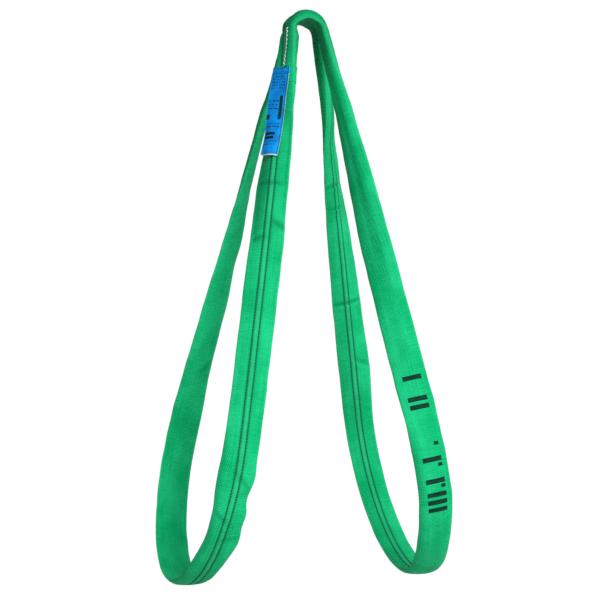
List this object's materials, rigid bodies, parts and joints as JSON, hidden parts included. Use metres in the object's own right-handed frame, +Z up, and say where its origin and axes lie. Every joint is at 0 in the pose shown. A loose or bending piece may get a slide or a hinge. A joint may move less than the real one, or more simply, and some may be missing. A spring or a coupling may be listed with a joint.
{
  "type": "endless lifting sling",
  "caption": "Soft endless lifting sling with a sewn woven cover over a yarn core, rigged as a two-loop basket over a hook and under a round load.",
  "frame": {"origin": "centre of the hook's round section, under the two bights", "axes": "+Z up, +X along the carried pipe's axis, +Y to the far side"},
  "size_m": [0.4204, 0.3722, 0.8744],
  "materials": {
    "cover_web": "woven polyester, slight sheen",
    "core_yarn": "loose polyester yarn",
    "seam_thread": "twisted polyester thread",
    "label_blue": "satin coated label",
    "label_pale": "satin coated label",
    "label_thread": "twisted thread",
    "print_ink": "matt printing ink"
  },
  "bodies": {
    "bights": {"front_bight_cover": "cover_web", "front_bight_core": "core_yarn", "front_bight_seam": "seam_thread", "rear_bight_cover": "cover_web", "rear_bight_core": "core_yarn", "rear_bight_seam": "seam_thread"},
    "left_loop": {"near_left_leg_cover": "cover_web", "near_left_leg_core": "core_yarn", "near_left_leg_seam": "seam_thread", "far_left_leg_cover": "cover_web", "far_left_leg_core": "core_yarn", "far_left_leg_seam": "seam_thread", "left_saddle_cover": "cover_web", "left_saddle_core": "core_yarn", "left_saddle_seam": "seam_thread", "sleeve_end_hem": "cover_web", "sleeve_end_stitches": "seam_thread", "label_tail": "label_blue", "label_stitches": "label_thread"},
    "right_loop": {"near_right_leg_cover": "cover_web", "near_right_leg_core": "core_yarn", "near_right_leg_seam": "seam_thread", "far_right_leg_cover": "cover_web", "far_right_leg_core": "core_yarn", "far_right_leg_seam": "seam_thread", "right_saddle_cover": "cover_web", "right_saddle_core": "core_yarn", "right_saddle_seam": "seam_thread", "load_mark": "print_ink"},
    "label": {"label_face": "label_blue", "label_inner_leaf": "label_pale", "label_print": "print_ink"}
  },
  "joints": [
    {"name": "left_spread", "type": "hinge", "parent": "bights", "child": "left_loop", "pos_m": [0, 0, 0], "axis": [0, 1, 0], "range_deg": [-9.5, 18]},
    {"name": "right_spread", "type": "hinge", "parent": "bights", "child": "right_loop", "pos_m": [0, 0, 0], "axis": [0, -1, 0], "range_deg": [-9.5, 18]},
    {"name": "label_lift", "type": "hinge", "parent": "left_loop", "child": "label", "pos_m": [-0.04891, -0.03419, -0.06997], "axis": [-0.3851, 0.9076, -0.1672], "range_deg": [0, 110]}
  ]
}
